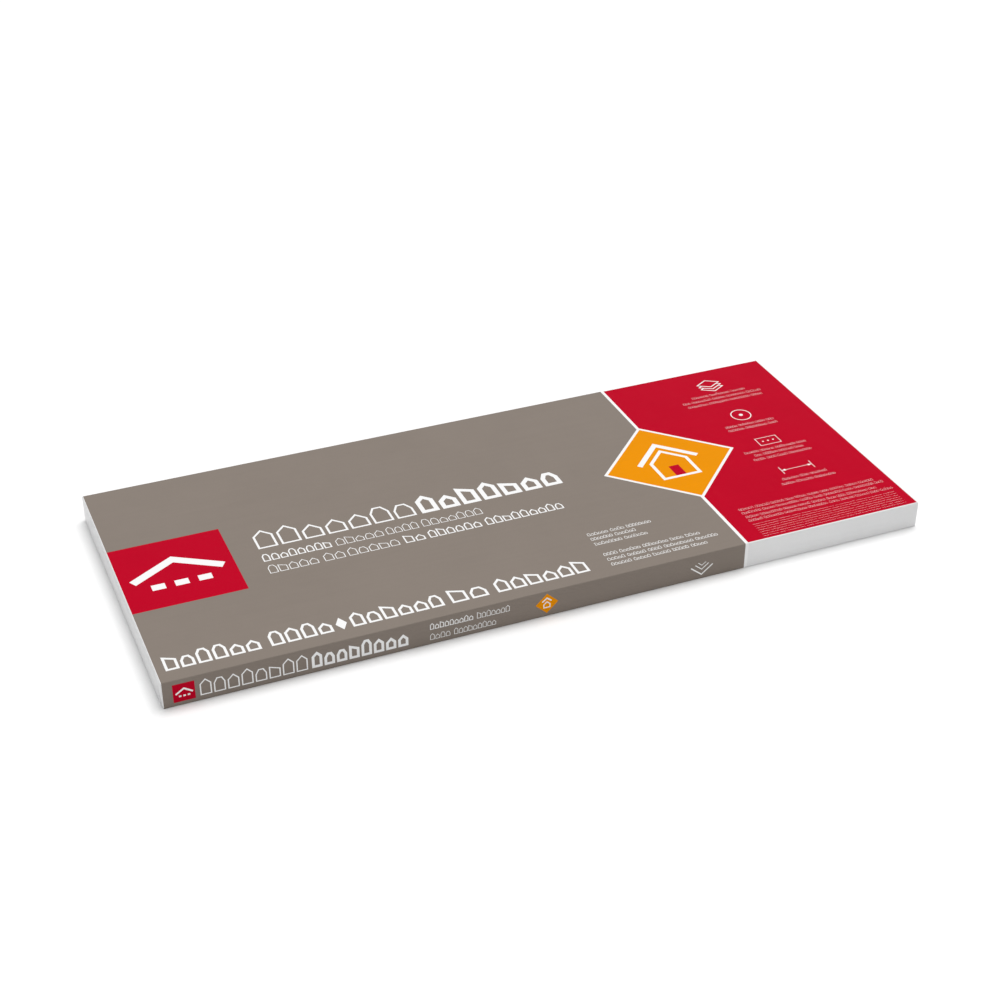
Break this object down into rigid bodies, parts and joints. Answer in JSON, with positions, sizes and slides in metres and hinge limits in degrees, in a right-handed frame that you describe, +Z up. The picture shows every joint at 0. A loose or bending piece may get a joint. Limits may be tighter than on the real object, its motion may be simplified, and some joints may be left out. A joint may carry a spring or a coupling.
{
  "type": "asphalt shingle bundle",
  "caption": "Flat bundle of asphalt starter strips for roof edges, stacked and wrapped whole in printed white polyethylene film.",
  "frame": {"origin": "middle of the underside of the wrapped bundle", "axes": "+X along the strips' length, +Y across the strips to the back, +Z up, out of the printed top face"},
  "size_m": [1.021, 0.4364, 0.0375],
  "materials": {
    "printed_film": "semi-gloss white polyethylene film, printed in taupe, red and orange",
    "asphalt_granules": "mineral-granule surfaced asphalt on a glass-fibre mat"
  },
  "bodies": {
    "root": {"wrapper": "printed_film", "starter_strips": "asphalt_granules"}
  },
  "joints": []
}
